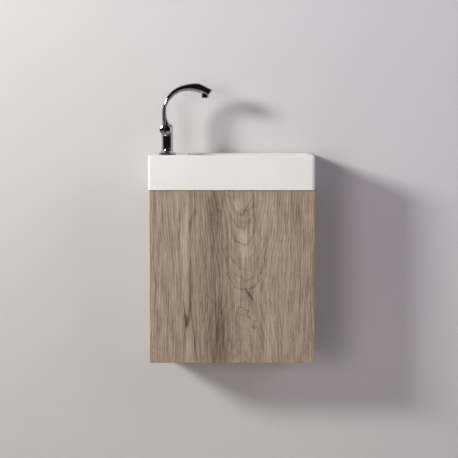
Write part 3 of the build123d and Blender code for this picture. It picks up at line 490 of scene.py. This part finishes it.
def stage_plane(name, size, turn_up, place):
    """A flat square for the stage, facing -Y when turned up and +Z when not."""
    mesh = bpy.data.meshes.new(name)
    shape = bmesh.new()
    bmesh.ops.create_grid(shape, x_segments=1, y_segments=1, size=size / 2)
    if turn_up:
        turn = Vector((0, 0, 1)).rotation_difference(Vector((0, -1, 0))).to_matrix()
        bmesh.ops.rotate(shape, verts=shape.verts, cent=(0, 0, 0), matrix=turn)
    bmesh.ops.translate(shape, verts=shape.verts, vec=place)
    shape.to_mesh(mesh)
    shape.free()
    plane = bpy.data.objects.new(name, mesh)
    bpy.context.scene.collection.objects.link(plane)
    return plane


def painted(name, warm_light_tint, cool_light_tint):
    """Matt paint with a faint roller texture and a painted tint of light that turns cooler up and to the
    right, see through from behind.
    """
    material, tree, shader = start_material(name)
    vector, x, y, z = place_of(tree)
    # Painted light tint: the colour turns from the warm stop to the cool stop up and to the right. This
    # stands in for the colour of the light falling across the wall; the paint itself is one colour.
    light_tint_slant = calc(tree, "ADD", calc(tree, "MULTIPLY_ADD", x, 0.5, 0.5), calc(tree, "MULTIPLY", z, 0.5))
    tone = ramp(tree, light_tint_slant, [(0.0, warm_light_tint), (1.0, cool_light_tint)])
    cloud = ramp(tree, noise(tree, vector, 2.2, 4.0), [(0.3, 0.97), (0.7, 1.0)])
    shade = {"Factor": 1.0, 6: tone, 7: cloud}
    paint = add_node(tree, "ShaderNodeMix", shade, data_type="RGBA", blend_type="MULTIPLY")
    tree.links.new(paint.outputs[2], shader.inputs["Base Color"])
    shader.inputs["Roughness"].default_value = 0.9
    shader.inputs["Specular IOR Level"].default_value = 0.1
    bump(tree, shader, noise(tree, vector, 260.0, 3.0), depth=0.0002, strength=0.4)
    output = [node for node in tree.nodes if node.type == "OUTPUT_MATERIAL"][0]
    behind = add_node(tree, "ShaderNodeNewGeometry").outputs["Backfacing"]
    clear = add_node(tree, "ShaderNodeBsdfTransparent").outputs[0]
    both = add_node(tree, "ShaderNodeMixShader", {0: behind, 1: shader.outputs[0], 2: clear})
    tree.links.new(both.outputs[0], output.inputs["Surface"])
    return material


wall = stage_plane("wall", WALL_SIZE, True, (0, WALL_BEHIND, ground + WALL_SIZE / 2))
floor = stage_plane("floor", FLOOR_SIZE, False, (0, 0, ground))
# Each pair is one paint under a painted tint of light: warm down and to the left, cool up and to the
# right.
wall.data.materials.append(painted("wall_paint", (0.590, 0.560, 0.540), (0.580, 0.560, 0.590)))
floor.data.materials.append(painted("floor_paint", (0.43, 0.415, 0.41), (0.43, 0.415, 0.415)))
print("floor at", round(ground, 3))

# %% [markdown]
# ## Light
# The photograph shows two shadows on the wall, one long and one short, both to the right and down. So
# a strong lamp stands far to the left and above, and a weaker one nearer the camera. Their places
# follow from where the shadows of the basin's corner and of the cabinet's foot fall. A large dim lamp
# lifts the shadows. The room in front is dark, which is why polished metal looks nearly black there.
# A faint lamp just in front of the wall, behind the cabinet's open back, lets the inside be looked at.


# %% Lamps
def lamp(name, place, size, power, colour, in_gloss, aim_at=(0, -0.1, 0), spread=180):
    """A soft lamp of a width and a height. A narrow spread makes it fall off away from where it aims."""
    light = bpy.data.lights.new(name, "AREA")
    light.shape = "RECTANGLE"
    light.size, light.size_y = size
    light.energy = power
    light.color = colour
    light.spread = math.radians(spread)
    holder = bpy.data.objects.new(name, light)
    bpy.context.scene.collection.objects.link(holder)
    holder.location = place
    aim = Vector(aim_at) - Vector(place)
    holder.rotation_euler = aim.to_track_quat("-Z", "Y").to_euler()
    holder.visible_glossy = in_gloss
    holder.visible_camera = False
    print(name, "at", place, "distance", round(aim.length, 2))


lamp("key", (-2.80, -2.35, 1.28), (0.9, 0.65), 55, (0.975, 1.0, 0.96), True, (-0.36, 0, 1.12), 105)
lamp("second", (-2.6, -6.6, 0.42), (2.0, 2.0), 113, (1.0, 0.905, 0.955), False)
lamp("fill", (3.3, -2.4, 1.25), (3.0, 3.0), 53, (0.96, 0.87, 0.97), False)
lamp("behind", (0, -0.001, -0.26), (0.34, 0.26), 0.16, (1.0, 0.92, 0.95), False, (0, -0.2, -0.26))

# %% [markdown]
# Polished metal shows the whole room, so the world matters more to the tap than the lamps do. Its light
# depends only on the direction: nearly black to the front, pale along the wall.

# %% World light, dark towards the camera
world = bpy.data.worlds.new("room")
bpy.context.scene.world = world
world.use_nodes = True
world_tree = world.node_tree
world_tree.nodes.clear()
direction = add_node(world_tree, "ShaderNodeTexCoord").outputs["Generated"]
way = add_node(world_tree, "ShaderNodeSeparateXYZ", {0: direction}).outputs
# 0 is straight to the front and 1 is straight to the wall
inwards = calc(world_tree, "MULTIPLY_ADD", way["Y"], 0.5, 0.5)
inwards = calc(world_tree, "MULTIPLY_ADD", way["X"], 0.06, inwards)
room_stops = [(0.20, (0.012, 0.011, 0.012)), (0.44, (0.06, 0.055, 0.06)), (0.50, (0.42, 0.38, 0.40))]
room_stops += [(0.58, (0.78, 0.70, 0.74)), (1.0, (0.80, 0.72, 0.76))]
room_light = ramp(world_tree, inwards, room_stops)
sky = add_node(world_tree, "ShaderNodeBackground", {"Color": room_light, "Strength": 1.0})
add_node(world_tree, "ShaderNodeOutputWorld", {"Surface": sky.outputs[0]})
print("world ready")

# %% [markdown]
# ## Camera
# The lines of the basin's rim and of the door's sides fix the camera: it stands over four metres away,
# a little above the rim, and looks slightly down through a long lens.

# %% Camera
LENS = 132.07  # in millimetres, on a sensor 36 mm wide
CAMERA_PLACE = (-0.0077, -4.234, 0.2573)
CAMERA_DOWN = 4.187  # degrees below level
camera_data = bpy.data.cameras.new("camera")
camera_data.sensor_width = 36.0
camera_data.lens = LENS
camera = bpy.data.objects.new("camera", camera_data)
bpy.context.scene.collection.objects.link(camera)
camera.location = CAMERA_PLACE
camera.rotation_euler = (math.radians(90 - CAMERA_DOWN), 0, 0)
camera_data.clip_start, camera_data.clip_end = 0.1, 60
bpy.context.scene.camera = camera
bpy.context.scene.view_settings.view_transform = "Standard"
print("camera at", CAMERA_PLACE, "with a lens of", LENS)
